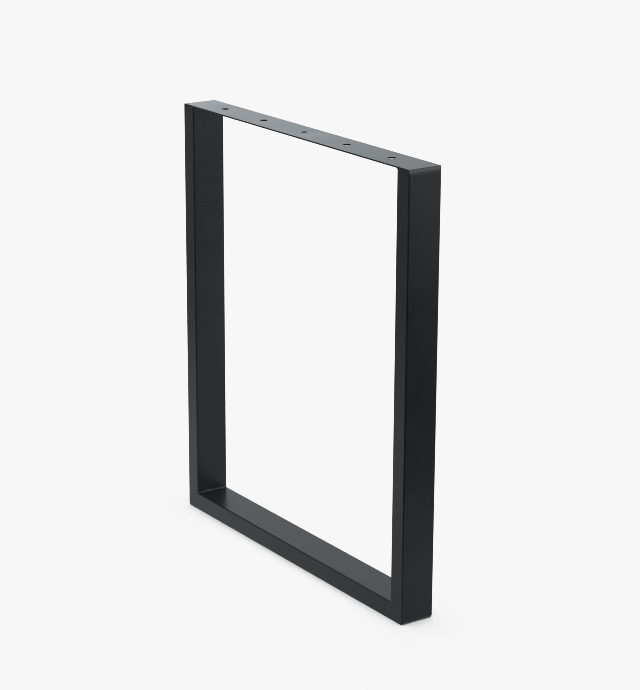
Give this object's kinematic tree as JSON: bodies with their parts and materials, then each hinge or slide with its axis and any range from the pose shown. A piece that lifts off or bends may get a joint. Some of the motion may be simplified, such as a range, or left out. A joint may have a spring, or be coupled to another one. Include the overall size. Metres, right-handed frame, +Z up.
{
  "type": "u shaped table leg",
  "caption": "U shaped table leg welded from black coated rectangular steel tube, with a drilled flat plate along the top that screws to the underside of a table.",
  "frame": {"origin": "on the floor, under the middle of the foot rail", "axes": "+X across the leg from the left to the right upright, +Y from the front face to the back, +Z up"},
  "size_m": [0.63, 0.06, 0.72],
  "materials": {
    "black_coat": "satin"
  },
  "bodies": {
    "root": {"left_upright": "black_coat", "right_upright": "black_coat", "foot_rail": "black_coat", "mounting_plate": "black_coat", "left_foot_weld": "black_coat", "right_foot_weld": "black_coat", "left_plate_weld": "black_coat", "right_plate_weld": "black_coat"}
  },
  "joints": []
}
